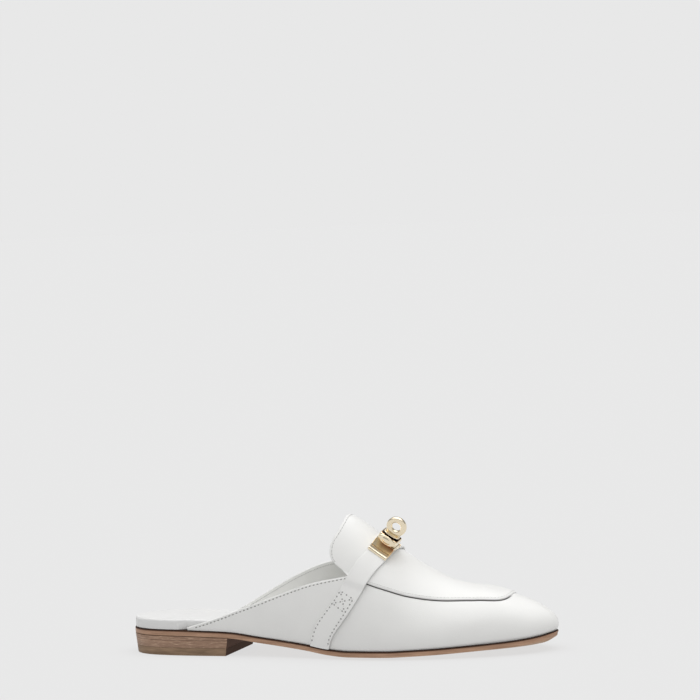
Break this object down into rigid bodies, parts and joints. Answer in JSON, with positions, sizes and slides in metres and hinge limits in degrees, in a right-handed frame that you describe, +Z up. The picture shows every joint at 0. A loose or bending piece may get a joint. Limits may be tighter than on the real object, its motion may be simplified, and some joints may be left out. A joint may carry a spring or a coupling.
{
  "type": "mule shoe",
  "caption": "Backless leather loafer mule for the right foot, with an almond toe, raised apron, tall tongue, saddle strap with a gold turn-lock clasp, and a low stacked heel.",
  "frame": {"origin": "on the floor under the middle of the whole shoe's box", "axes": "+X from the heel to the toe, +Y to the inner (medial) side of the foot, +Z up"},
  "size_m": [0.2612, 0.076, 0.0819],
  "materials": {
    "sole_leather": "smooth, dyed edge",
    "top_piece_rubber": "matte",
    "stacked_leather": "burnished layers",
    "insole_leather": "smooth",
    "upper_leather": "smooth, softly polished",
    "strap_leather": "smooth, softly polished",
    "pale_gold": "polished pale gold plating"
  },
  "bodies": {
    "shoe": {"outsole": "sole_leather", "heel_top_piece": "top_piece_rubber", "heel_lift": "stacked_leather", "heel_seat_lift": "stacked_leather", "insole": "insole_leather", "upper": "upper_leather", "strap": "strap_leather", "clasp_plate": "pale_gold", "clasp_block": "pale_gold"},
    "toggle": {"turnlock_toggle": "pale_gold"}
  },
  "joints": [
    {"name": "turnlock_turn", "type": "hinge", "parent": "shoe", "child": "toggle", "pos_m": [0.03869, -0.016, 0.07057], "axis": [0.5822, -0.2512, 0.7732], "range_deg": [0, 90]}
  ]
}
